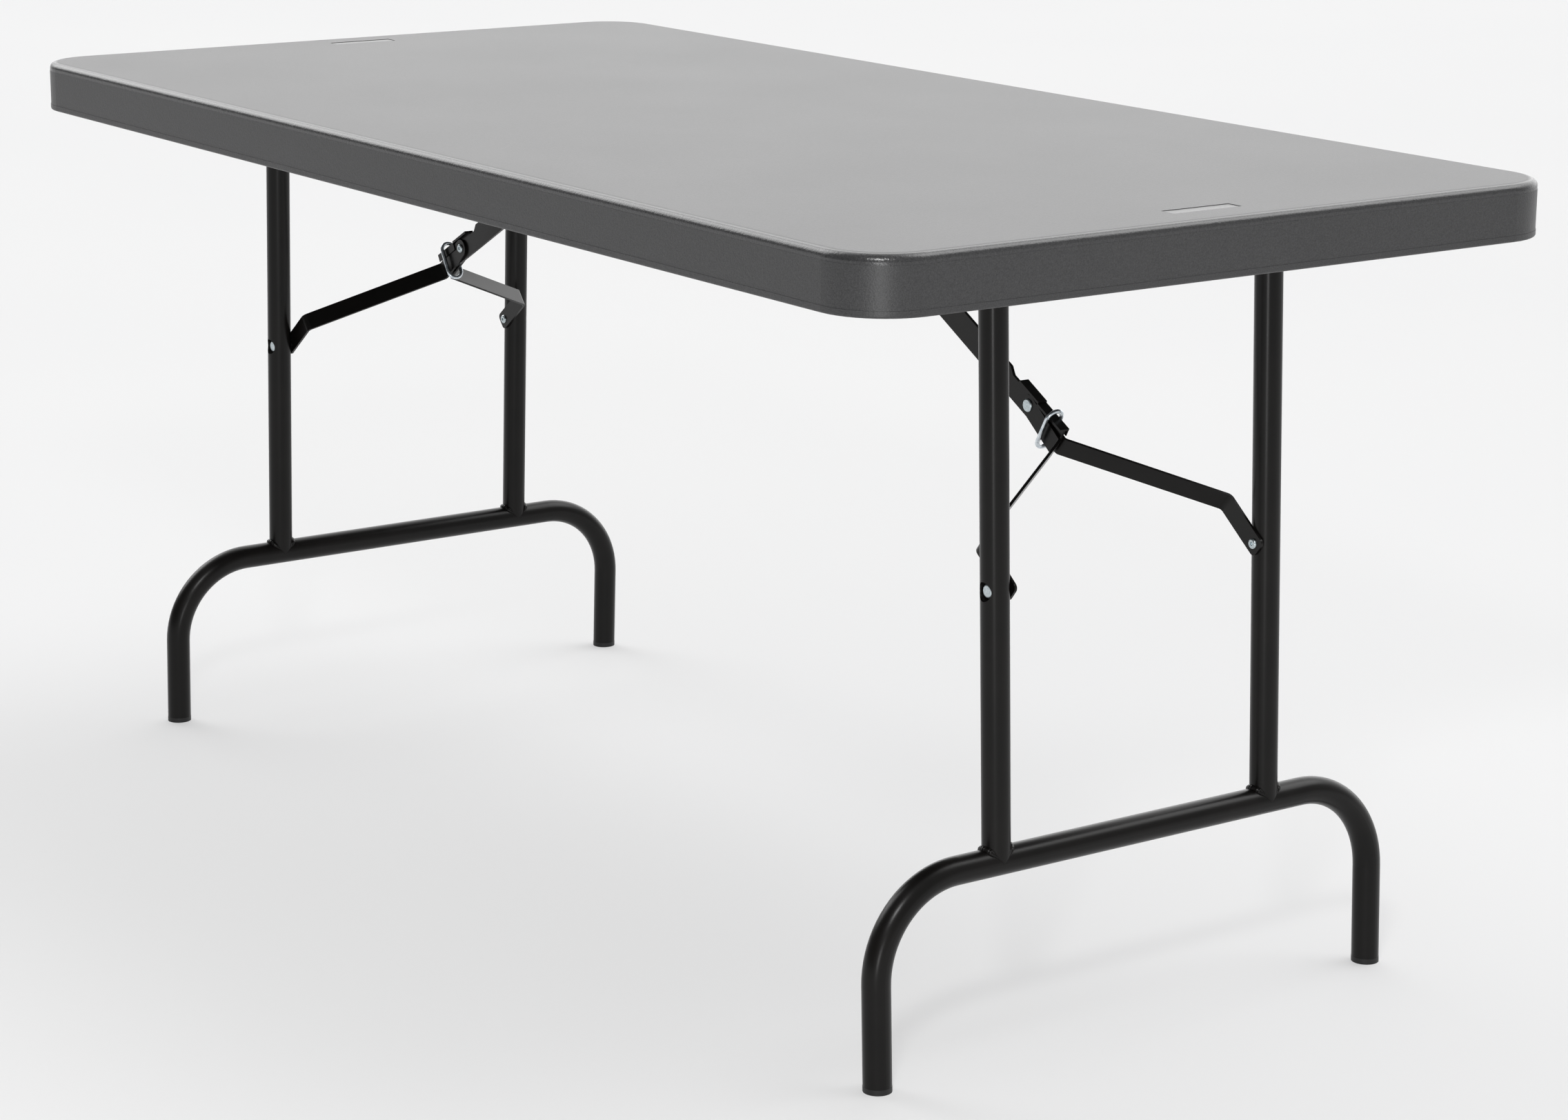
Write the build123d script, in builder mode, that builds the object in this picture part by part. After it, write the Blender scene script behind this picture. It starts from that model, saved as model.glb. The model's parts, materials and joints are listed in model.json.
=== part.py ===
"""Folding banquet table: a blow-moulded top on two folding steel wishbone leg frames.

The frame is metric: origin on the floor under the middle of the top, +X along the length, +Z up.
Every piece of the right-hand end (+X) is built here once; the left-hand end is the same set of
pieces turned half a turn about +Z, which is how the two leg frames are fitted on the real table.
"""
from build123d import *
from math import cos, radians, sin
import os

os.makedirs("parts", exist_ok=True)

# Driving dimensions, millimetres
LENGTH = 1524.0
WIDTH = 762.0
HEIGHT = 736.6
CORNER_RADIUS = 60.0
RIM_DEPTH = 50.8            # height of the skirt seen from the side
RIM_WIDTH = 28.0            # hollow rim that runs round the underside
PANEL_THICKNESS = 22.0      # double-walled panel inside the rim
SKIN = 4.5                  # wall of the moulding
LIP_HEIGHT = 6.0            # parting line above the bottom edge
LIP_PROUD = 0.4
BAND_STEP = 0.25            # tiny step where the rounded band meets the skirt
BAND_TOP_WIDTH = 9.0        # gentle slope between the flat top and the rounded band
BAND_DROP = 1.4
BAND_HEIGHT = 9.0
BAND_RADIUS = 6.0
EDGE_ROUND = 2.0            # round on the bottom edge of the skirt
PAN_CORNER = 38.0           # plan radius of the pan's corners
PAN_ROUND = 5.0
RIM_CAVITY_INSET = 5.5      # outer skin of the rim
LABEL_RECESS = (17.0, 74.0, 0.4)
LABEL_RECESS_X = 713.0
BOSS_RADIUS = 8.0           # solid plastic round every screw
PILOT = 4.3
PILOT_DEPTH = 15.0

TUBE = 25.4
TUBE_WALL = 1.5
UPRIGHT_Y = 153.0
CROSSBAR_DROP = 516.4       # pivot axis to crossbar axis along the leg
FOOT_Y = 282.0
FOOT_BEND = 85.0
SPLAY = 2.3                 # degrees that the open legs lean outwards
PIVOT_X = 630.0
PIVOT_Z = 694.0
PIVOT_TUBE_HALF = 200.0
RIVET_DROP = 278.2          # pivot axis to leg rivet along the leg
FOOT_CAP_HEIGHT = 5.0
FOOT_CAP_PROUD = 0.1
FOOT_CAP_INSERT = 26.0
PUSH_FIT = 0.05             # gap between a plug and the bore that it sits in
PLUG_FACE = 2.5
PLUG_DEPTH = 12.0
BEAD = 2.6                  # weld bead, measured out from the tube's face
BEAD_LONG = 20.0            # how far a bead is cut from, on the open side and past the joint
BEAD_PAST = 2.5

SHANK = 3.0                 # radius of the rivet shanks
RIVET_HOLE = 3.1
CUP_BACK = 4.5              # pressed cup for the leg rivet: levels measured from the tube's axis
CUP_FLOOR = 6.2
CUP_LAND_RADIUS = 9.2
CUP_FLOOR_RADIUS = 7.2
CUP_MOUTH_RADIUS = 8.6
LEG_HEAD = (6.6, 2.6)       # rivet heads: radius, height
LEG_TAIL = (4.8, 2.0)
KNUCKLE_HEAD = (6.0, 1.6)
KNUCKLE_TAIL = (4.8, 1.6)
LEG_TAIL_BORE = 1.6
KNUCKLE_TAIL_BORE = 1.8
DOME_ROUND = 0.85           # round on a head, as a share of its height

LINK_SLOPE = 29.0           # degrees below horizontal when the legs are open
LINK_PIN_X = 203.5
LINK_LENGTH = 334.2         # link pin to knuckle
LINK_TAIL = 48.0            # link beyond the knuckle
LINK_WIDTH = 25.0
LINK_THICK = 3.0
LINK_CHAMFER = (6.0, 8.0)   # corner cut off the free end of the link
FLANGE_HALF = 5.0
FLANGE_THICK = 2.3
FLANGE_REACH = 20.0
FLANGE_STEP_AT = 11.0
FLANGE_STEP_DROP = 1.9      # less than FLANGE_THICK, so that the two levels stay joined
FLANGE_LAP = 0.5
FLANGE_SKIRT = (1.0, 8.0)   # thickness and depth of the wall along one side of the lower flange
FLANGE_SKIRT_PROUD = 0.25
RELIEF = (40.0, 33.0, 24.0, 5.0)  # notch above the knuckle: start, foot start, foot end, depth

ARM_WIDTH = 19.0
ARM_THICK = 2.5
ARM_GAP = 0.1               # running clearance between stacked bars
ARM_CREASE_KNUCKLE = 50.0
ARM_CREASE_LEG = 48.0
ARM_END_LEG = 8.5
ARM_END_ROUND = 5.0
ARM_BEND = 5.0
LEG_GAP = 0.3               # gap between the arm tab and the upright, which is the open pivot

RING_WIRE = 4.0
RING_AT = 31.0              # ring beyond the knuckle along the link
RING_INNER_TOP = 15.4
RING_INNER_BOTTOM = -20.7
RING_INNER_HALF = 6.1

BUSH_Y = 182.0
BUSH_WIDTH = 20.0
BUSH_RADIUS = 15.7
BUSH_FIT = 0.06
STRAP_THICK = 2.0
STRAP_FLANGE = 16.0
SCREW_SHANK = 4.0
SCREW_HEAD = 9.0
SCREW_HEAD_HEIGHT = 2.8
SCREW_LENGTH = 13.0
SCREW_ROUND = 1.4
SCREW_RECESS = (5.4, 1.2, 2.2)  # cross recess: across, slot, height of the cutter
SCREW_CLEARANCE = 2.6       # radius of the holes in the sheet metal

BRACKET_LENGTH = 74.0
BRACKET_WIDTH = 52.0
BRACKET_THICK = 2.5
BRACKET_CORNER = 8.0
BRACKET_SCREW_INSET = (9.0, 10.0)
EAR_GAP = 0.3
EAR_TIP = 11.0              # radius of the ear round the pin
EAR_ROOT = 17.0             # half width of the ear at the plate
EAR_LAP = 1.0
PIN_DIAMETER = 8.0
PIN_FIT = 0.05
PIN_HEAD = (6.5, 2.0)
PIN_TAIL = (5.5, 1.8)

KISS_PITCH = 100.0          # moulded cones that tie the two walls of the panel together
KISS_COLUMNS = 13
KISS_ROWS = 6
KISS_RADIUS = 13.0
KISS_MOUTH = 10.0           # radius of the open cone at the underside and at its tip
KISS_TIP = 6.0

# Worked-out places
RIM_BOTTOM = HEIGHT - RIM_DEPTH
UNDERSIDE = HEIGHT - PANEL_THICKNESS
TUBE_RADIUS = TUBE / 2
BORE_RADIUS = TUBE_RADIUS - TUBE_WALL
lean = radians(SPLAY)
slope = radians(LINK_SLOPE)
LEG_DOWN = Vector(sin(lean), 0, -cos(lean))
PIVOT = Vector(PIVOT_X, 0, PIVOT_Z)
LEG_RIVET = PIVOT + LEG_DOWN * RIVET_DROP
LINK_PIN = Vector(LINK_PIN_X, 0, PIVOT_Z)
LINK_DIR = Vector(cos(slope), 0, -sin(slope))
KNUCKLE = LINK_PIN + LINK_DIR * LINK_LENGTH
ARM_LENGTH = (LEG_RIVET - KNUCKLE).length
ARM_DIR = (LEG_RIVET - KNUCKLE).normalized()
LEG_AXIS_LENGTH = PIVOT_Z / cos(lean)

# Working planes: local x and y lie in the plane that is named, z points away from it
leg_plane = Plane(origin=PIVOT, x_dir=(0, 1, 0), z_dir=(cos(lean), 0, sin(lean)))
link_plane = Plane(origin=LINK_PIN, x_dir=LINK_DIR, z_dir=(0, -1, 0))
arm_plane = Plane(origin=KNUCKLE, x_dir=ARM_DIR, z_dir=(0, -1, 0))
arm_plan = Plane(origin=KNUCKLE, x_dir=ARM_DIR, z_dir=arm_plane.y_dir)
pivot_side = Plane(origin=PIVOT, x_dir=(1, 0, 0), z_dir=(0, -1, 0))

SEATED = (Align.CENTER, Align.CENTER, Align.MIN)
HUNG = (Align.CENTER, Align.CENTER, Align.MAX)

end_pieces = {}


def save(part, name):
    """Label a finished piece and write its STEP."""
    part.label = name
    export_step(part, f"parts/{name}.step")


def keep(piece, name):
    """Hold a finished right-hand piece under its name without the side."""
    end_pieces[name] = piece.part


# Screw positions in the underside, right-hand end
strap_screws = [
    (PIVOT_X + side * (BUSH_RADIUS + STRAP_THICK + STRAP_FLANGE / 2), y)
    for side in (-1, 1)
    for y in (-BUSH_Y, BUSH_Y)
]
bracket_screws = [
    (LINK_PIN_X + dx, dy)
    for dx in (BRACKET_SCREW_INSET[0] - BRACKET_LENGTH / 2, BRACKET_LENGTH / 2 - BRACKET_SCREW_INSET[0])
    for dy in (BRACKET_SCREW_INSET[1] - BRACKET_WIDTH / 2, BRACKET_WIDTH / 2 - BRACKET_SCREW_INSET[1])
]
end_screws = strap_screws + bracket_screws
all_screws = end_screws + [(-x, -y) for x, y in end_screws]


def clear_of_hardware(x, y):
    """True where a moulded cone doesn't meet a bracket, a strap or a pivot tube."""
    near_pivot = abs(abs(x) - PIVOT_X) < 50 and abs(y) < PIVOT_TUBE_HALF + 20
    near_pin = abs(abs(x) - LINK_PIN_X) < BRACKET_LENGTH / 2 + 16 and abs(y) < BRACKET_WIDTH / 2 + 16
    return not (near_pivot or near_pin)


kiss_offs = [
    (x, y)
    for x in [(i - (KISS_COLUMNS - 1) / 2) * KISS_PITCH for i in range(KISS_COLUMNS)]
    for y in [(j - (KISS_ROWS - 1) / 2) * KISS_PITCH for j in range(KISS_ROWS)]
    if clear_of_hardware(x, y)
]


# ---- Tabletop: one hollow blow-moulded piece -------------------------------------------------
def outline(inset, z):
    """Rounded outline of the top, set in by inset, at height z."""
    with BuildSketch(Plane.XY.offset(z)) as shape:
        RectangleRounded(LENGTH - 2 * inset, WIDTH - 2 * inset, CORNER_RADIUS - inset)
    return shape.sketch


band_inset = LIP_PROUD + BAND_STEP
with BuildPart() as tabletop:
    add(outline(0, RIM_BOTTOM))
    extrude(amount=LIP_HEIGHT)
    add(outline(LIP_PROUD, RIM_BOTTOM + LIP_HEIGHT))
    extrude(amount=RIM_DEPTH - LIP_HEIGHT - BAND_HEIGHT)
    add(outline(band_inset, HEIGHT - BAND_HEIGHT))
    extrude(amount=BAND_HEIGHT - BAND_DROP)
    add(outline(band_inset, HEIGHT - BAND_DROP))
    add(outline(band_inset + BAND_TOP_WIDTH, HEIGHT))
    loft(ruled=True)
    shoulder = tabletop.edges().filter_by(lambda e: abs(e.center().Z - (HEIGHT - BAND_DROP)) < 0.01)
    fillet(shoulder, BAND_RADIUS)
    foot_edges = tabletop.edges().filter_by(lambda e: abs(e.center().Z - RIM_BOTTOM) < 0.01)
    fillet(foot_edges, EDGE_ROUND)
    # open pan inside the rim
    with BuildSketch(Plane.XY.offset(RIM_BOTTOM)):
        RectangleRounded(LENGTH - 2 * RIM_WIDTH, WIDTH - 2 * RIM_WIDTH, PAN_CORNER)
    extrude(amount=UNDERSIDE - RIM_BOTTOM, mode=Mode.SUBTRACT)
    pan_edges = tabletop.edges().filter_by(lambda e: abs(e.center().Z - UNDERSIDE) < 0.01)
    fillet(pan_edges, PAN_ROUND)
    # hollow rim
    with BuildSketch(Plane.XY.offset(RIM_BOTTOM + SKIN)):
        RectangleRounded(LENGTH - 2 * RIM_CAVITY_INSET, WIDTH - 2 * RIM_CAVITY_INSET, CORNER_RADIUS - SKIN)
        RectangleRounded(
            LENGTH - 2 * (RIM_WIDTH - SKIN),
            WIDTH - 2 * (RIM_WIDTH - SKIN),
            PAN_CORNER + SKIN,
            mode=Mode.SUBTRACT,
        )
    extrude(amount=RIM_DEPTH - 3 * SKIN, mode=Mode.SUBTRACT)
    # hollow panel, tied together by the moulded cones and the screw bosses
    with BuildSketch(Plane.XY.offset(UNDERSIDE + SKIN)):
        RectangleRounded(LENGTH - 2 * RIM_WIDTH, WIDTH - 2 * RIM_WIDTH, PAN_CORNER)
        with Locations(*kiss_offs):
            Circle(KISS_RADIUS, mode=Mode.SUBTRACT)
        with Locations(*all_screws):
            Circle(BOSS_RADIUS, mode=Mode.SUBTRACT)
    extrude(amount=PANEL_THICKNESS - 2 * SKIN, mode=Mode.SUBTRACT)
    # the cones open on the underside
    with Locations(*[(x, y, UNDERSIDE) for x, y in kiss_offs]):
        Cone(
            KISS_MOUTH,
            KISS_TIP,
            PANEL_THICKNESS - 2 * SKIN + 1,
            align=SEATED,
            mode=Mode.SUBTRACT,
        )
    with Locations(*[(x, y, UNDERSIDE) for x, y in all_screws]):
        Cylinder(PILOT / 2, PILOT_DEPTH, align=SEATED, mode=Mode.SUBTRACT)
    # blank moulded recess near each short end
    with Locations(
        (LABEL_RECESS_X, 0, HEIGHT - LABEL_RECESS[2] / 2), (-LABEL_RECESS_X, 0, HEIGHT - LABEL_RECESS[2] / 2)
    ):
        Box(*LABEL_RECESS, mode=Mode.SUBTRACT)
save(tabletop.part, "tabletop")


# ---- Leg frame ----------------------------------------------------------------------------------
def rod(plane, radius, low, high):
    """A round bar along a plane's z axis from low to high."""
    with BuildPart() as bar:
        with BuildSketch(plane.offset(low)):
            Circle(radius)
        extrude(amount=high - low)
    return bar.part


def upright_axis(y):
    """Plane at the pivot level of an upright, with z pointing down the leg."""
    return Plane(origin=PIVOT + Vector(0, y, 0), x_dir=(0, 1, 0), z_dir=LEG_DOWN)


crossbar_centre = PIVOT + LEG_DOWN * CROSSBAR_DROP
crossbar_axis = Plane(origin=crossbar_centre, x_dir=(1, 0, 0), z_dir=(0, -1, 0))
floor_block = Box(4000, 4000, 400, mode=Mode.PRIVATE).moved(Location((0, 0, FOOT_CAP_HEIGHT - 200)))

for side_name, y, outward in (("front", -UPRIGHT_Y, -1), ("back", UPRIGHT_Y, 1)):
    rivet_point = LEG_RIVET + Vector(0, y, 0)
    dimple_plane = Plane(origin=rivet_point, x_dir=(1, 0, 0), z_dir=(0, outward, 0))
    with BuildPart() as upright:
        add(rod(upright_axis(y), TUBE_RADIUS, 0, CROSSBAR_DROP))
        add(rod(upright_axis(y), BORE_RADIUS, 0, CROSSBAR_DROP), mode=Mode.SUBTRACT)
        # pressed cup that the rivet head sits in
        land = rod(dimple_plane, CUP_LAND_RADIUS, CUP_BACK, TUBE_RADIUS + 1)
        add(land & rod(upright_axis(y), TUBE_RADIUS, 0, CROSSBAR_DROP))
        with BuildSketch(dimple_plane.offset(CUP_FLOOR)):
            Circle(CUP_FLOOR_RADIUS)
        with BuildSketch(dimple_plane.offset(TUBE_RADIUS + 0.5)):
            Circle(CUP_MOUTH_RADIUS)
        loft(mode=Mode.SUBTRACT)
        add(rod(dimple_plane, RIVET_HOLE, -TUBE, TUBE), mode=Mode.SUBTRACT)
        add(rod(pivot_side, TUBE_RADIUS, -WIDTH / 2, WIDTH / 2), mode=Mode.SUBTRACT)
        add(rod(crossbar_axis, TUBE_RADIUS, -WIDTH / 2, WIDTH / 2), mode=Mode.SUBTRACT)
    keep(upright, f"{side_name}_upright")

with BuildPart() as foot_tube:
    with BuildLine(leg_plane) as foot_line:
        FilletPolyline(
            (-FOOT_Y, -LEG_AXIS_LENGTH - 10),
            (-FOOT_Y, -CROSSBAR_DROP),
            (FOOT_Y, -CROSSBAR_DROP),
            (FOOT_Y, -LEG_AXIS_LENGTH - 10),
            radius=FOOT_BEND,
        )
    with BuildSketch(Plane(origin=foot_line.line @ 0, z_dir=foot_line.line % 0)):
        Circle(TUBE_RADIUS)
        Circle(BORE_RADIUS, mode=Mode.SUBTRACT)
    sweep(path=foot_line.line)
    add(floor_block, mode=Mode.SUBTRACT)
keep(foot_tube, "foot_tube")

with BuildPart() as pivot_tube:
    add(rod(pivot_side, TUBE_RADIUS, -PIVOT_TUBE_HALF, PIVOT_TUBE_HALF))
    add(rod(pivot_side, BORE_RADIUS, -PIVOT_TUBE_HALF, PIVOT_TUBE_HALF), mode=Mode.SUBTRACT)
keep(pivot_tube, "pivot_tube")

with BuildPart() as pivot_plugs:
    for sign in (-1, 1):
        plug_plane = Plane(origin=PIVOT + Vector(0, sign * PIVOT_TUBE_HALF, 0), z_dir=(0, sign, 0))
        add(rod(plug_plane, TUBE_RADIUS, 0, PLUG_FACE))
        add(rod(plug_plane, BORE_RADIUS - PUSH_FIT, -PLUG_DEPTH, 0))
keep(pivot_plugs, "pivot_plugs")

# weld beads: the band that lies just outside both tubes along each joint
with BuildPart() as welds:
    for y in (-UPRIGHT_Y, UPRIGHT_Y):
        for bar_axis, at, low, high in (
            (crossbar_axis, CROSSBAR_DROP, -BEAD_LONG, BEAD_PAST),
            (pivot_side, 0, -BEAD_PAST, BEAD_LONG),
        ):
            bead = rod(upright_axis(y), TUBE_RADIUS + BEAD, at + low, at + high)
            bead = bead & rod(bar_axis, TUBE_RADIUS + BEAD, -WIDTH / 2, WIDTH / 2)
            bead = bead - rod(upright_axis(y), TUBE_RADIUS, at - 2 * BEAD_LONG, at + 2 * BEAD_LONG)
            bead = bead - rod(bar_axis, TUBE_RADIUS, -WIDTH / 2, WIDTH / 2)
            add(bead)
keep(welds, "welds")

with BuildPart() as foot_caps:
    for y in (-FOOT_Y, FOOT_Y):
        cap = rod(upright_axis(y), TUBE_RADIUS + FOOT_CAP_PROUD, LEG_AXIS_LENGTH - TUBE, LEG_AXIS_LENGTH + TUBE)
        slab = Box(4 * TUBE, 4 * TUBE, FOOT_CAP_HEIGHT, align=SEATED, mode=Mode.PRIVATE)
        foot_at = PIVOT + LEG_DOWN * LEG_AXIS_LENGTH
        add(cap & slab.moved(Location((foot_at.X, y, 0))))
        insert_top = LEG_AXIS_LENGTH - FOOT_CAP_INSERT
        insert = rod(upright_axis(y), BORE_RADIUS - PUSH_FIT, insert_top, LEG_AXIS_LENGTH + TUBE)
        add(insert - floor_block)
keep(foot_caps, "foot_caps")


# ---- Rivets --------------------------------------------------------------------------------------
def dome(plane, radius, height, at):
    """A low domed rivet head on a plane, standing up from the level at."""
    with BuildPart() as head:
        with BuildSketch(plane.offset(at)):
            Circle(radius)
        extrude(amount=height)
        fillet(head.faces().sort_by(Axis(plane.origin, plane.z_dir))[-1].edges(), height * DOME_ROUND)
    return head.part


with BuildPart() as leg_rivets:
    for y, outward in ((-UPRIGHT_Y, -1), (UPRIGHT_Y, 1)):
        head_plane = Plane(origin=LEG_RIVET + Vector(0, y, 0), x_dir=(1, 0, 0), z_dir=(0, outward, 0))
        add(dome(head_plane, *LEG_HEAD, CUP_FLOOR))
        add(rod(head_plane, SHANK, -TUBE_RADIUS, CUP_FLOOR))
keep(leg_rivets, "leg_rivets")

leg_tab_face = UPRIGHT_Y - TUBE_RADIUS - LEG_GAP
with BuildPart() as arm_rivets:
    for inward in (-1, 1):
        tail_at = LEG_RIVET + Vector(0, -inward * leg_tab_face, 0)
        tail_plane = Plane(origin=tail_at, x_dir=(1, 0, 0), z_dir=(0, inward, 0))
        add(rod(tail_plane, SHANK, 0, ARM_THICK))
        add(dome(tail_plane, *LEG_TAIL, ARM_THICK))
        add(rod(tail_plane, LEG_TAIL_BORE, ARM_THICK + 0.4, 2 * ARM_THICK), mode=Mode.SUBTRACT)
keep(arm_rivets, "arm_rivets")

tab_outer = LINK_THICK / 2 + ARM_GAP + ARM_THICK + ARM_GAP
with BuildPart() as knuckle_rivet:
    head_plane = Plane(origin=KNUCKLE, x_dir=(1, 0, 0), z_dir=(0, -1, 0))
    tail_plane = Plane(origin=KNUCKLE, x_dir=(1, 0, 0), z_dir=(0, 1, 0))
    add(rod(head_plane, SHANK, -tab_outer, tab_outer))
    add(dome(head_plane, *KNUCKLE_HEAD, tab_outer))
    add(dome(tail_plane, *KNUCKLE_TAIL, tab_outer))
    add(rod(tail_plane, KNUCKLE_TAIL_BORE, tab_outer - ARM_GAP, tab_outer + SHANK), mode=Mode.SUBTRACT)
keep(knuckle_rivet, "knuckle_rivet")

# ---- Brace: upper link, two bent arms, sliding lock ring ------------------------------------------
link_half = LINK_WIDTH / 2
link_end = LINK_LENGTH + LINK_TAIL
step_at = LINK_LENGTH + FLANGE_STEP_AT
step_top = link_half - FLANGE_STEP_DROP
with BuildPart() as upper_link:
    with BuildSketch(link_plane):
        with BuildLine():
            Polyline(
                (0, -link_half),
                (link_end - LINK_CHAMFER[0], -link_half),
                (link_end, LINK_CHAMFER[1] - link_half),
                (link_end, step_top),
                (step_at, step_top),
                (step_at, link_half),
                (LINK_LENGTH - FLANGE_REACH, link_half),
                (LINK_LENGTH - RELIEF[2], link_half - RELIEF[3]),
                (LINK_LENGTH - RELIEF[1], link_half - RELIEF[3]),
                (LINK_LENGTH - RELIEF[0], link_half),
                (0, link_half),
            )
            ThreePointArc((0, link_half), (-link_half, 0), (0, -link_half))
        make_face()
    extrude(amount=LINK_THICK / 2, both=True)
    with BuildSketch(link_plane):
        with Locations((LINK_LENGTH - FLANGE_REACH, link_half - FLANGE_THICK)):
            Rectangle(FLANGE_REACH + FLANGE_STEP_AT, FLANGE_THICK, align=(Align.MIN, Align.MIN))
        with Locations((step_at - FLANGE_LAP, step_top - FLANGE_THICK)):
            Rectangle(LINK_TAIL - FLANGE_STEP_AT + FLANGE_LAP, FLANGE_THICK, align=(Align.MIN, Align.MIN))
    extrude(amount=FLANGE_HALF, both=True)
    # the wall that the lower flange turns down behind the back arm
    with BuildSketch(link_plane.offset(-FLANGE_HALF - FLANGE_SKIRT_PROUD)):
        with Locations((step_at - FLANGE_LAP, step_top)):
            Rectangle(LINK_TAIL - FLANGE_STEP_AT + FLANGE_LAP, FLANGE_SKIRT[1], align=(Align.MIN, Align.MAX))
    extrude(amount=FLANGE_SKIRT[0])
    add(rod(link_plane, PIN_DIAMETER / 2 + PIN_FIT, -LINK_WIDTH, LINK_WIDTH), mode=Mode.SUBTRACT)
    add(rod(Plane(origin=KNUCKLE, z_dir=(0, -1, 0)), SHANK, -LINK_WIDTH, LINK_WIDTH), mode=Mode.SUBTRACT)
keep(upper_link, "upper_link")

tab_inner = LINK_THICK / 2 + ARM_GAP
# one arm is bent in plan, the other is its mirror image
with BuildPart() as front_arm:
    with BuildSketch(arm_plan):
        with BuildLine():
            FilletPolyline(
                (-ARM_WIDTH / 2, tab_inner),
                (ARM_CREASE_KNUCKLE, tab_inner),
                (ARM_LENGTH - ARM_CREASE_LEG, leg_tab_face - ARM_THICK),
                (ARM_LENGTH + ARM_END_LEG, leg_tab_face - ARM_THICK),
                radius=ARM_BEND,
            )
            offset(amount=ARM_THICK, side=Side.LEFT, closed=True)
        make_face()
    extrude(amount=ARM_WIDTH / 2, both=True)
    ends = front_arm.edges().filter_by(Axis.Y).sort_by(Axis(KNUCKLE, ARM_DIR))
    fillet(ends[:2], ARM_WIDTH / 2 - 0.2)
    ends = front_arm.edges().filter_by(Axis.Y).sort_by(Axis(KNUCKLE, ARM_DIR))
    fillet(ends[-2:], ARM_END_ROUND)
    add(rod(Plane(origin=KNUCKLE, z_dir=(0, -1, 0)), SHANK + PIN_FIT, -WIDTH / 2, WIDTH / 2), mode=Mode.SUBTRACT)
    add(rod(Plane(origin=LEG_RIVET, z_dir=(0, -1, 0)), SHANK, -WIDTH / 2, WIDTH / 2), mode=Mode.SUBTRACT)
with BuildPart() as back_arm:
    add(mirror(front_arm.part, about=Plane.XZ, mode=Mode.PRIVATE))
if front_arm.part.center().Y > 0:
    front_arm, back_arm = back_arm, front_arm
keep(front_arm, "front_arm")
keep(back_arm, "back_arm")

ring_middle = (RING_INNER_TOP + RING_INNER_BOTTOM) / 2
ring_straight = RING_INNER_TOP - RING_INNER_BOTTOM - 2 * RING_INNER_HALF
ring_plane = Plane(
    origin=KNUCKLE + LINK_DIR * RING_AT + link_plane.y_dir * ring_middle,
    x_dir=link_plane.y_dir,
    z_dir=LINK_DIR,
)
wire_radius = RING_INNER_HALF + RING_WIRE / 2
with BuildPart() as lock_ring:
    with BuildLine(ring_plane) as ring_line:
        Line((-ring_straight / 2, wire_radius), (ring_straight / 2, wire_radius))
        ThreePointArc(
            (ring_straight / 2, wire_radius),
            (ring_straight / 2 + wire_radius, 0),
            (ring_straight / 2, -wire_radius),
        )
        Line((ring_straight / 2, -wire_radius), (-ring_straight / 2, -wire_radius))
        ThreePointArc(
            (-ring_straight / 2, -wire_radius),
            (-ring_straight / 2 - wire_radius, 0),
            (-ring_straight / 2, wire_radius),
        )
    with BuildSketch(Plane(origin=ring_line.line @ 0, z_dir=ring_line.line % 0)):
        Circle(RING_WIRE / 2)
    sweep(path=ring_line.line)
keep(lock_ring, "lock_ring")

# ---- Hardware that holds the leg frame and the brace to the top -----------------------------------
saddle_height = UNDERSIDE - PIVOT_Z
with BuildPart() as pivot_bushes:
    with BuildSketch(pivot_side):
        Circle(BUSH_RADIUS)
        Rectangle(2 * BUSH_RADIUS, saddle_height, align=(Align.CENTER, Align.MIN))
        Circle(TUBE_RADIUS + BUSH_FIT, mode=Mode.SUBTRACT)
    extrude(amount=BUSH_Y + BUSH_WIDTH / 2, both=True)
    add(rod(pivot_side, 4 * BUSH_RADIUS, -BUSH_Y + BUSH_WIDTH / 2, BUSH_Y - BUSH_WIDTH / 2), mode=Mode.SUBTRACT)
keep(pivot_bushes, "pivot_bushes")

strap_radius = BUSH_RADIUS + STRAP_THICK
strap_half = BUSH_WIDTH / 2 - 1
with BuildPart() as pivot_straps:
    with BuildSketch(pivot_side):
        Circle(strap_radius)
        Rectangle(2 * strap_radius, saddle_height, align=(Align.CENTER, Align.MIN))
        with Locations((0, saddle_height)):
            Rectangle(2 * (strap_radius + STRAP_FLANGE), STRAP_THICK, align=(Align.CENTER, Align.MAX))
        Circle(BUSH_RADIUS, mode=Mode.SUBTRACT)
        Rectangle(2 * BUSH_RADIUS, saddle_height, align=(Align.CENTER, Align.MIN), mode=Mode.SUBTRACT)
    extrude(amount=BUSH_Y + strap_half, both=True)
    add(rod(pivot_side, 4 * strap_radius, -BUSH_Y + strap_half, BUSH_Y - strap_half), mode=Mode.SUBTRACT)
    with Locations(*[(x, y, UNDERSIDE) for x, y in strap_screws]):
        Cylinder(SCREW_CLEARANCE, SCREW_LENGTH, mode=Mode.SUBTRACT)
keep(pivot_straps, "pivot_straps")

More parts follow.
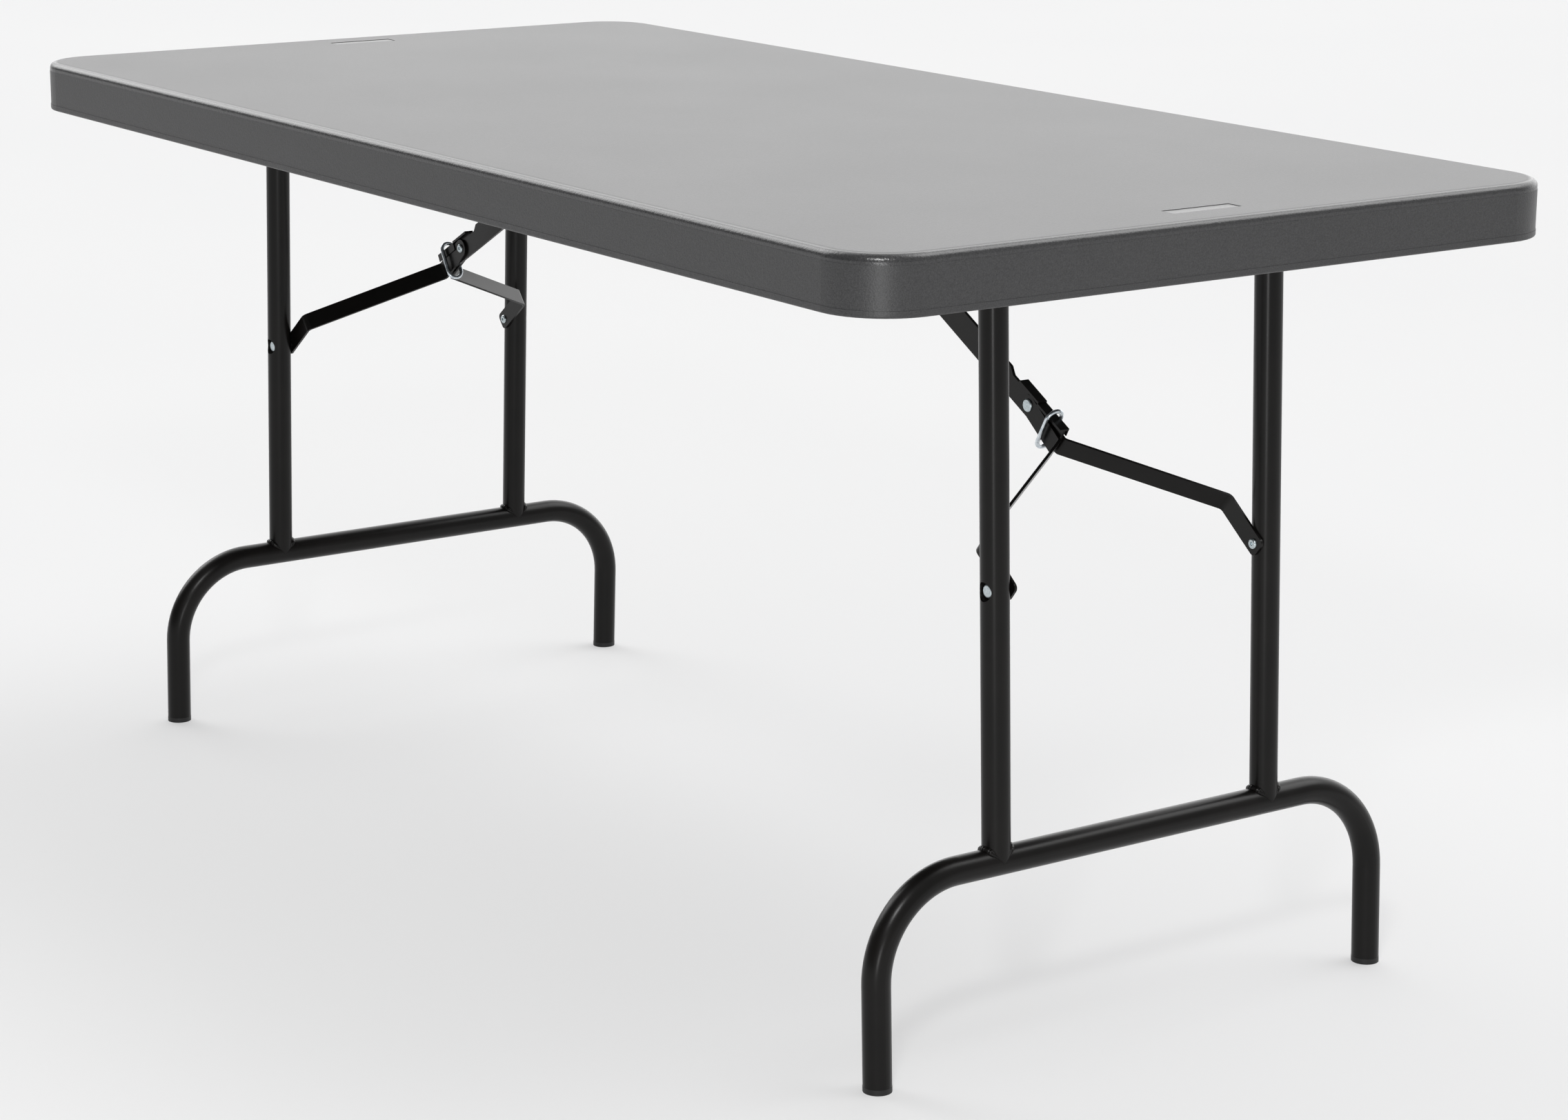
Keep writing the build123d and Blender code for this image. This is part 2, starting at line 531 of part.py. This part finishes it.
ear_inner = LINK_THICK / 2 + EAR_GAP
ear_outer = ear_inner + BRACKET_THICK
ear_top = saddle_height - EAR_LAP
pin_plane = Plane(origin=LINK_PIN, x_dir=(1, 0, 0), z_dir=(0, -1, 0))
pin_back = Plane(origin=LINK_PIN, x_dir=(1, 0, 0), z_dir=(0, 1, 0))
with BuildPart() as link_bracket:
    with Locations((LINK_PIN_X, 0, UNDERSIDE)):
        Box(BRACKET_LENGTH, BRACKET_WIDTH, BRACKET_THICK, align=HUNG)
    fillet(link_bracket.edges().filter_by(Axis.Z), BRACKET_CORNER)
    for sign in (-1, 1):
        with BuildSketch(pin_plane.offset(-sign * ear_inner)):
            with BuildLine():
                Polyline((-EAR_TIP, 0), (-EAR_ROOT, ear_top), (EAR_ROOT, ear_top), (EAR_TIP, 0))
                ThreePointArc((EAR_TIP, 0), (0, -EAR_TIP), (-EAR_TIP, 0))
            make_face()
        extrude(amount=-sign * BRACKET_THICK)
    add(rod(link_plane, PIN_DIAMETER / 2, -LINK_WIDTH, LINK_WIDTH), mode=Mode.SUBTRACT)
    with Locations(*[(x, y, UNDERSIDE) for x, y in bracket_screws]):
        Cylinder(SCREW_CLEARANCE, SCREW_LENGTH, mode=Mode.SUBTRACT)
keep(link_bracket, "link_bracket")

with BuildPart() as link_pin:
    add(rod(pin_plane, PIN_DIAMETER / 2, -ear_outer, ear_outer))
    add(dome(pin_plane, *PIN_HEAD, ear_outer))
    add(dome(pin_back, *PIN_TAIL, ear_outer))
keep(link_pin, "link_pin")


def screw(x, y, seat):
    """A pan-head screw driven up into the top, its head under the level seat."""
    across, slot, depth = SCREW_RECESS
    with BuildPart() as one:
        with Locations((x, y, seat)):
            Cylinder(SCREW_HEAD / 2, SCREW_HEAD_HEIGHT, align=HUNG)
        fillet(one.edges().sort_by(Axis.Z)[0], SCREW_ROUND)
        with Locations((x, y, seat)):
            Cylinder(SCREW_SHANK / 2, SCREW_LENGTH, align=SEATED)
        with Locations((x, y, seat - SCREW_HEAD_HEIGHT)):
            Box(across, slot, depth, mode=Mode.SUBTRACT)
            Box(slot, across, depth, mode=Mode.SUBTRACT)
    return one.part


with BuildPart() as pivot_screws:
    for x, y in strap_screws:
        add(screw(x, y, UNDERSIDE - STRAP_THICK))
keep(pivot_screws, "pivot_screws")

with BuildPart() as bracket_screw_set:
    for x, y in bracket_screws:
        add(screw(x, y, UNDERSIDE - BRACKET_THICK))
keep(bracket_screw_set, "bracket_screws")

# ---- Both ends ---------------------------------------------------------------------------------------
OTHER_SIDE = {"front": "back", "back": "front"}
for piece_name, piece in end_pieces.items():
    save(piece, f"right_{piece_name}")
    side, _, rest = piece_name.partition("_")
    left_name = f"{OTHER_SIDE[side]}_{rest}" if side in OTHER_SIDE else piece_name
    with BuildPart() as left_piece:
        add(piece, rotation=(0, 0, 180))
    save(left_piece.part, f"left_{left_name}")
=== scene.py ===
import json
import math

import bmesh
import bpy
from mathutils import Matrix, Vector


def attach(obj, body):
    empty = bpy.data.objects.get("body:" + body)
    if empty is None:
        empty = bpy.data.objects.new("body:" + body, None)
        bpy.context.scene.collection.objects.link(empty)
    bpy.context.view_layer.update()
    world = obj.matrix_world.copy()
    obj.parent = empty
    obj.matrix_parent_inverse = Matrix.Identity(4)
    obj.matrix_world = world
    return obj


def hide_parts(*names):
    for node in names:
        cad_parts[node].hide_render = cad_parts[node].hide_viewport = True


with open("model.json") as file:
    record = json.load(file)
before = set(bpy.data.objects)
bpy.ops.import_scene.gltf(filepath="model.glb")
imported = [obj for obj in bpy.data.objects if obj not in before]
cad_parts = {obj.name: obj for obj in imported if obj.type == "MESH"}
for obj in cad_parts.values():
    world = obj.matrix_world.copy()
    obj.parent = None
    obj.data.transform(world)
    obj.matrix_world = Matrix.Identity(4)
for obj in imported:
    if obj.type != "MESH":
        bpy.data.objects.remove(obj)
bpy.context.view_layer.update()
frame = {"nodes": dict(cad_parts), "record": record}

nodes = frame["nodes"]
MM = 0.001
TOP_LEVEL = 736.6 * MM
TUBE_RADIUS = 12.7 * MM
UPRIGHT_Y = 153.0 * MM
PIVOT = Vector((630.0, 0.0, 694.0)) * MM
CROSSBAR_DROP = 516.4 * MM           # pivot axis to crossbar axis along the leg
LEAN = math.radians(2.3)             # splay of the open legs
LEG_DOWN = Vector((math.sin(LEAN), 0.0, -math.cos(LEAN)))
ACROSS = Vector((math.cos(LEAN), 0.0, math.sin(LEAN)))


# ---- Colour and node helpers ---------------------------------------------------------------------
def linear(hex_colour):
    """sRGB hex to linear RGBA."""
    channels = [int(hex_colour[i:i + 2], 16) / 255 for i in (1, 3, 5)]
    turned = [c / 12.92 if c <= 0.04045 else ((c + 0.055) / 1.055) ** 2.4 for c in channels]
    return (*turned, 1.0)


def add_node(tree, kind, settings=None, **sockets):
    """Adds a node, sets its properties, and sets or links its inputs.

    An input goes by its name with underscores for spaces, or by i and its number.
    """
    node = tree.nodes.new(kind)
    for key, value in (settings or {}).items():
        setattr(node, key, value)
    for key, value in sockets.items():
        numbered = key[0] == "i" and key[1:].isdigit()
        socket = node.inputs[int(key[1:])] if numbered else node.inputs[key.replace("_", " ")]
        if isinstance(value, bpy.types.NodeSocket):
            tree.links.new(value, socket)
        else:
            socket.default_value = value
    return node


def new_material(name):
    """An empty node material with its output, and its tree."""
    material = bpy.data.materials.new(name)
    material.use_nodes = True
    material.node_tree.nodes.clear()
    return material, material.node_tree


def finish_material(material, shader):
    """Links a shader to the material's output."""
    output = add_node(material.node_tree, "ShaderNodeOutputMaterial")
    material.node_tree.links.new(shader.outputs[0], output.inputs["Surface"])
    return material


def ramp(tree, factor, stops):
    """A colour ramp on factor, with (position, colour) stops."""
    node = add_node(tree, "ShaderNodeValToRGB", Fac=factor)
    elements = node.color_ramp.elements
    elements[0].position, elements[0].color = stops[0]
    elements[1].position, elements[1].color = stops[-1]
    for position, colour in stops[1:-1]:
        elements.new(position).color = colour
    return node


def per_mm(size_mm):
    """Noise scale in metres space whose features are about size_mm across."""
    return 1.0 / (size_mm * MM)


# ---- Finishes --------------------------------------------------------------------------------------
BAND_LOW = (9.2 * MM, 8.8 * MM)      # below the top: where the moulded band starts, above the skirt
BAND_HIGH = (0.6 * MM, 0.1 * MM)     # and where it runs out into the flat top
BAND_ROUGHNESS = 0.24
PANEL_ROUGHNESS = (0.39, 0.43)
POWDER_ROUGHNESS = (0.25, 0.33)
ZINC_CLOUDING = 0.14                 # how much duller the cloudy patches of the plating are
PLASTIC_GRAIN = 0.06                 # how far the grain moves the roughness either way


def moulded_charcoal_polyethylene():
    """Blow-moulded high-density polyethylene: dull and waxy, finely pebbled, smoother on the moulded band."""
    material, tree = new_material("moulded_charcoal_polyethylene")
    where = add_node(tree, "ShaderNodeTexCoord").outputs["Object"]
    cloud = add_node(tree, "ShaderNodeTexNoise", Vector=where, Scale=per_mm(180), Detail=3.0, Roughness=0.55)
    speck = add_node(tree, "ShaderNodeTexNoise", Vector=where, Scale=per_mm(1.2), Detail=2.0, Roughness=0.7)
    pebble = add_node(tree, "ShaderNodeTexNoise", Vector=where, Scale=per_mm(2.4), Detail=1.0)
    blend = add_node(tree, "ShaderNodeMath", {"operation": "MULTIPLY_ADD"}, i0=cloud.outputs["Fac"], i1=0.12,
                     i2=speck.outputs["Fac"])
    colour = ramp(tree, blend.outputs[0], [(0.30, linear("#222223")), (0.82, linear("#414142"))])
    level = add_node(tree, "ShaderNodeSeparateXYZ", Vector=where).outputs["Z"]
    below_top = add_node(tree, "ShaderNodeMapRange", Value=level, From_Min=TOP_LEVEL - BAND_HIGH[0],
                         From_Max=TOP_LEVEL - BAND_HIGH[1], To_Min=1.0, To_Max=0.0)
    above_skirt = add_node(tree, "ShaderNodeMapRange", Value=level, From_Min=TOP_LEVEL - BAND_LOW[0],
                           From_Max=TOP_LEVEL - BAND_LOW[1])
    band = add_node(tree, "ShaderNodeMath", {"operation": "MULTIPLY"}, i0=below_top.outputs[0],
                    i1=above_skirt.outputs[0])
    dull = add_node(tree, "ShaderNodeMapRange", Value=cloud.outputs["Fac"], To_Min=PANEL_ROUGHNESS[0],
                    To_Max=PANEL_ROUGHNESS[1])
    rough = add_node(tree, "ShaderNodeMapRange", Value=band.outputs[0], To_Min=dull.outputs[0],
                     To_Max=BAND_ROUGHNESS)
    grain = add_node(tree, "ShaderNodeBump", Strength=0.5, Distance=0.25 * MM, Height=pebble.outputs["Fac"])
    fine = add_node(tree, "ShaderNodeBump", Strength=0.5, Distance=0.25 * MM, Height=speck.outputs["Fac"],
                    Normal=grain.outputs[0])
    shader = add_node(tree, "ShaderNodeBsdfPrincipled", Base_Color=colour.outputs[0], IOR=1.54,
                      Roughness=rough.outputs[0], Normal=fine.outputs[0])
    return finish_material(material, shader)


def satin_black_powder_coat():
    """Baked polyester powder on steel: near black, satin, with the slight ripple that powder flows out to."""
    material, tree = new_material("satin_black_powder_coat")
    where = add_node(tree, "ShaderNodeTexCoord").outputs["Object"]
    peel = add_node(tree, "ShaderNodeTexNoise", Vector=where, Scale=per_mm(1.6), Detail=2.0)
    cloud = add_node(tree, "ShaderNodeTexNoise", Vector=where, Scale=per_mm(40), Detail=3.0)
    colour = ramp(tree, cloud.outputs["Fac"], [(0.35, linear("#0C0B0A")), (0.7, linear("#12100F"))])
    rough = add_node(tree, "ShaderNodeMapRange", Value=cloud.outputs["Fac"], To_Min=POWDER_ROUGHNESS[0],
                     To_Max=POWDER_ROUGHNESS[1])
    bump = add_node(tree, "ShaderNodeBump", Strength=0.3, Distance=0.08 * MM, Height=peel.outputs["Fac"])
    shader = add_node(tree, "ShaderNodeBsdfPrincipled", Base_Color=colour.outputs[0], IOR=1.5,
                      Specular_IOR_Level=0.22, Roughness=rough.outputs[0], Normal=bump.outputs[0])
    return finish_material(material, shader)


def zinc_plate(name, low, high, roughness, cloud_mm):
    """Electroplated zinc on steel: bluish silver metal, slightly cloudy."""
    material, tree = new_material(name)
    where = add_node(tree, "ShaderNodeTexCoord").outputs["Object"]
    cloud = add_node(tree, "ShaderNodeTexNoise", Vector=where, Scale=per_mm(cloud_mm), Detail=4.0,
                     Roughness=0.6)
    colour = ramp(tree, cloud.outputs["Fac"], [(0.35, linear(low)), (0.65, linear(high))])
    rough = add_node(tree, "ShaderNodeMapRange", Value=cloud.outputs["Fac"], To_Min=roughness,
                     To_Max=roughness + ZINC_CLOUDING)
    bump = add_node(tree, "ShaderNodeBump", Strength=0.25, Distance=0.05 * MM, Height=cloud.outputs["Fac"])
    shader = add_node(tree, "ShaderNodeBsdfPrincipled", Base_Color=colour.outputs[0], Metallic=1.0,
                      Roughness=rough.outputs[0], Normal=bump.outputs[0])
    return finish_material(material, shader)


def moulded_plastic(name, low, high, roughness):
    """Injection-moulded plastic trim: dull, with a fine spark-eroded grain."""
    material, tree = new_material(name)
    where = add_node(tree, "ShaderNodeTexCoord").outputs["Object"]
    grain = add_node(tree, "ShaderNodeTexNoise", Vector=where, Scale=per_mm(0.9), Detail=2.0)
    colour = ramp(tree, grain.outputs["Fac"], [(0.3, linear(low)), (0.7, linear(high))])
    rough = add_node(tree, "ShaderNodeMapRange", Value=grain.outputs["Fac"], To_Min=roughness - PLASTIC_GRAIN,
                     To_Max=roughness + PLASTIC_GRAIN)
    bump = add_node(tree, "ShaderNodeBump", Strength=0.3, Distance=0.05 * MM, Height=grain.outputs["Fac"])
    shader = add_node(tree, "ShaderNodeBsdfPrincipled", Base_Color=colour.outputs[0], IOR=1.5,
                      Roughness=rough.outputs[0], Normal=bump.outputs[0])
    return finish_material(material, shader)


polyethylene = moulded_charcoal_polyethylene()
powder_coat = satin_black_powder_coat()
zinc = zinc_plate("blue_zinc_plated_steel", "#AEB8BC", "#D3DCDF", 0.26, 2.0)
wire_zinc = zinc_plate("bright_zinc_drawn_wire", "#BFC7CE", "#E4EAEE", 0.16, 3.0)
cap_plastic = moulded_plastic("matt_black_moulded_polyethylene", "#0A0A0A", "#101010", 0.5)
nylon = moulded_plastic("black_moulded_nylon", "#171718", "#222223", 0.42)

FINISHES = {
    "charcoal_polyethylene": polyethylene,
    "black_powder_coat": powder_coat,
    "zinc_plated_steel": zinc,
    "bright_zinc_wire": wire_zinc,
    "black_cap_plastic": cap_plastic,
    "black_nylon": nylon,
}
for subpart in frame["record"]["subparts"]:
    mesh = nodes[subpart["node"]].data
    mesh.materials.clear()
    mesh.materials.append(FINISHES[subpart["material_slot"]])


# ---- Weld beads ---------------------------------------------------------------------------------------
BEAD_STEPS = 180            # rings along one bead
BEAD_RING = 10              # points round it
BEAD_THIN, BEAD_FULL = 0.15 * MM, 3.1 * MM  # radii at the waist and in the crooks
BEAD_FROM, BEAD_TO = 0.42, 0.92  # it thins out towards the waist, where the two tubes are flush
RIPPLE = 0.10               # depth of a ripple, as a share of the bead's radius
RIPPLES = 34                # ripples round one bead
UNEVEN = 0.06               # slow swell and shrink, as by hand


def add_bead(bm, centre, up, turn):
    """A rippled fillet weld round the saddle where an upright stands on a level tube of the same size."""
    path = []
    for step in range(BEAD_STEPS):
        angle = 2 * math.pi * step / BEAD_STEPS
        saddle = ACROSS * math.cos(angle) + Vector((0, 1, 0)) * math.sin(angle) + up * abs(math.sin(angle))
        path.append((angle, centre + saddle * TUBE_RADIUS))
    rings = []
    for step, (angle, point) in enumerate(path):
        along = (path[(step + 1) % BEAD_STEPS][1] - path[step - 1][1]).normalized()
        side = along.cross(up).normalized()
        rise = side.cross(along)
        swell = min(max((abs(math.sin(angle)) - BEAD_FROM) / (BEAD_TO - BEAD_FROM), 0.0), 1.0)
        bulk = BEAD_THIN + (BEAD_FULL - BEAD_THIN) * swell * swell * (3 - 2 * swell)
        ripple = RIPPLE * abs(math.sin(RIPPLES * angle / 2))
        bulk *= 1 + ripple + UNEVEN * math.sin(5 * angle + centre.y * 40)
        ring = []
        for corner in range(BEAD_RING):
            around = 2 * math.pi * corner / BEAD_RING
            place = point + (side * math.cos(around) + rise * math.sin(around)) * bulk
            ring.append(bm.verts.new(turn @ place))
        rings.append(ring)
    for step, ring in enumerate(rings):
        ahead = rings[(step + 1) % BEAD_STEPS]
        for corner in range(BEAD_RING):
            after = (corner + 1) % BEAD_RING
            bm.faces.new((ring[corner], ring[after], ahead[after], ahead[corner])).smooth = True


def weld_beads(side):
    """The four beads of one leg frame, in place of the plain bands."""
    turn = Matrix.Rotation(0.0 if side == "right" else math.pi, 3, "Z")
    mesh = bpy.data.meshes.new(f"{side}_weld_beads")
    bm = bmesh.new()
    for y in (-UPRIGHT_Y, UPRIGHT_Y):
        at = Vector((0, y, 0))
        add_bead(bm, PIVOT + LEG_DOWN * CROSSBAR_DROP + at, -LEG_DOWN, turn)
        add_bead(bm, PIVOT + at, LEG_DOWN, turn)
    bmesh.ops.recalc_face_normals(bm, faces=bm.faces)
    bm.to_mesh(mesh)
    bm.free()
    mesh.materials.append(powder_coat)
    beads = bpy.data.objects.new(f"{side}_weld_beads", mesh)
    bpy.context.scene.collection.objects.link(beads)
    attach(beads, f"{side}_legs")
    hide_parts(f"{side}_welds")


for side in ("right", "left"):
    weld_beads(side)


# ---- Stage: floor, light, camera ---------------------------------------------------------------------
FLOOR_GLOW = 0.47
FLOOR_PAPER = "#A4A4A4"
FLOOR_REACH = 60.0                   # half the side of the sweep, past where it is seen to end


def stage_floor():
    """A seamless pale sweep, lit from below as well, so that shadows stay light."""
    material, tree = new_material("pale_studio_sweep")
    where = add_node(tree, "ShaderNodeTexCoord").outputs["Object"]
    cloud = add_node(tree, "ShaderNodeTexNoise", Vector=where, Scale=0.5, Detail=2.0)
    glow = ramp(tree, cloud.outputs["Fac"], [(0.3, linear("#EDEDEE")), (0.7, linear("#F1F1F1"))])
    shader = add_node(tree, "ShaderNodeBsdfPrincipled", Base_Color=linear(FLOOR_PAPER), Roughness=0.9,
                      Emission_Color=glow.outputs[0], Emission_Strength=FLOOR_GLOW)
    finish_material(material, shader)
    mesh = bpy.data.meshes.new("studio_floor")
    bm = bmesh.new()
    bmesh.ops.create_grid(bm, x_segments=4, y_segments=4, size=FLOOR_REACH)
    bm.to_mesh(mesh)
    bm.free()
    floor = bpy.data.objects.new("studio_floor", mesh)
    bpy.context.scene.collection.objects.link(floor)
    mesh.materials.append(material)


stage_floor()


def soft_light(name, at, aim, size, power):
    """A white rectangular softbox at a place, aimed at a point."""
    data = bpy.data.lights.new(name, "AREA")
    data.shape = "RECTANGLE"
    data.size, data.size_y = size
    data.energy = power
    lamp = bpy.data.objects.new(name, data)
    lamp.location = at
    lamp.rotation_euler = (Vector(aim) - Vector(at)).to_track_quat("-Z", "Y").to_euler()
    lamp.visible_camera = False
    bpy.context.scene.collection.objects.link(lamp)


# Each patch of the surroundings has a direction and the cosines where it is full and where it ends.
AMBIENT = 0.45                       # white cove all round
BACK_WALL = ((-0.80, 0.60, 0.10), 0.95, 0.20)  # brighter, it gives the glare along the top
BACK_WALL_GAIN = 1.55
DARK_WALL = ((-0.60, -0.80, 0.0), 0.80, 0.10)  # unlit side of the room
DARK_WALL_LOSS = 0.75
WINDOWS = (((-0.79, -0.15, 0.52), 0.985, 0.90),  # high soft sources that edge the rounded rim
           ((0.15, 0.56, 0.78), 0.985, 0.90))
WINDOW_STRENGTH = 3.4


def studio_world():
    """White surroundings, as in a white cove: a bright back wall, one unlit side and two windows."""
    world = bpy.data.worlds.new("white_cove")
    bpy.context.scene.world = world
    world.use_nodes = True
    tree = world.node_tree
    tree.nodes.clear()
    direction = add_node(tree, "ShaderNodeTexCoord").outputs["Generated"]

    def sector(towards, inner, outer):
        """1 towards a direction, falling smoothly to 0 between the inner and the outer cosine."""
        unit = Vector(towards).normalized()
        facing = add_node(tree, "ShaderNodeVectorMath", {"operation": "DOT_PRODUCT"}, i0=direction,
                          i1=unit)
        fall = add_node(tree, "ShaderNodeMapRange", {"interpolation_type": "SMOOTHSTEP"},
                        Value=facing.outputs["Value"], From_Min=outer, From_Max=inner)
        return fall.outputs[0]

    def scaled(factor, amount, base):
        """base plus amount times factor."""
        node = add_node(tree, "ShaderNodeMath", {"operation": "MULTIPLY_ADD"}, i0=factor, i1=amount, i2=base)
        return node.outputs[0]

    lit = scaled(sector(*BACK_WALL), BACK_WALL_GAIN, AMBIENT)
    shaded = scaled(sector(*DARK_WALL), -DARK_WALL_LOSS, 1.0)
    strength = add_node(tree, "ShaderNodeMath", {"operation": "MULTIPLY"}, i0=lit, i1=shaded).outputs[0]
    for window in WINDOWS:
        strength = scaled(sector(*window), WINDOW_STRENGTH, strength)
    background = add_node(tree, "ShaderNodeBackground", Color=linear("#FFFFFF"), Strength=strength)
    output = add_node(tree, "ShaderNodeOutputWorld")
    tree.links.new(background.outputs[0], output.inputs["Surface"])


studio_world()
soft_light("key_softbox", at=(2.25, -1.74, 2.3), aim=(0.7, -0.4, 0.7), size=(0.4, 0.4), power=30)
soft_light("low_strip", at=(3.1, -2.3, 0.40), aim=(0.7, -0.4, 0.66), size=(0.3, 0.5), power=14)


FOCAL_LENGTH = 86.8                  # mm, on a 36 mm wide sensor
CAMERA_AT = (3.0541, -2.0755, 1.2261)
AZIMUTH, ELEVATION, ROLL = 0.9557, 0.2496, 0.0066  # radians


def long_lens_camera():
    """Long-lens view from above the near corner."""
    data = bpy.data.cameras.new("camera")
    data.sensor_width = 36.0
    data.lens = FOCAL_LENGTH
    data.dof.use_dof = False
    data.clip_end = 200.0
    camera = bpy.data.objects.new("camera", data)
    level = math.cos(ELEVATION)
    back = Vector((math.sin(AZIMUTH) * level, -math.cos(AZIMUTH) * level, math.sin(ELEVATION)))
    right = Vector((math.cos(AZIMUTH), math.sin(AZIMUTH), 0.0))
    up = back.cross(right)
    turn = Matrix((right, up, back)).transposed() @ Matrix.Rotation(ROLL, 3, "Z")
    camera.matrix_world = Matrix.Translation(CAMERA_AT) @ turn.to_4x4()
    bpy.context.scene.collection.objects.link(camera)
    bpy.context.scene.camera = camera


long_lens_camera()
bpy.context.scene.view_settings.view_transform = "Standard"
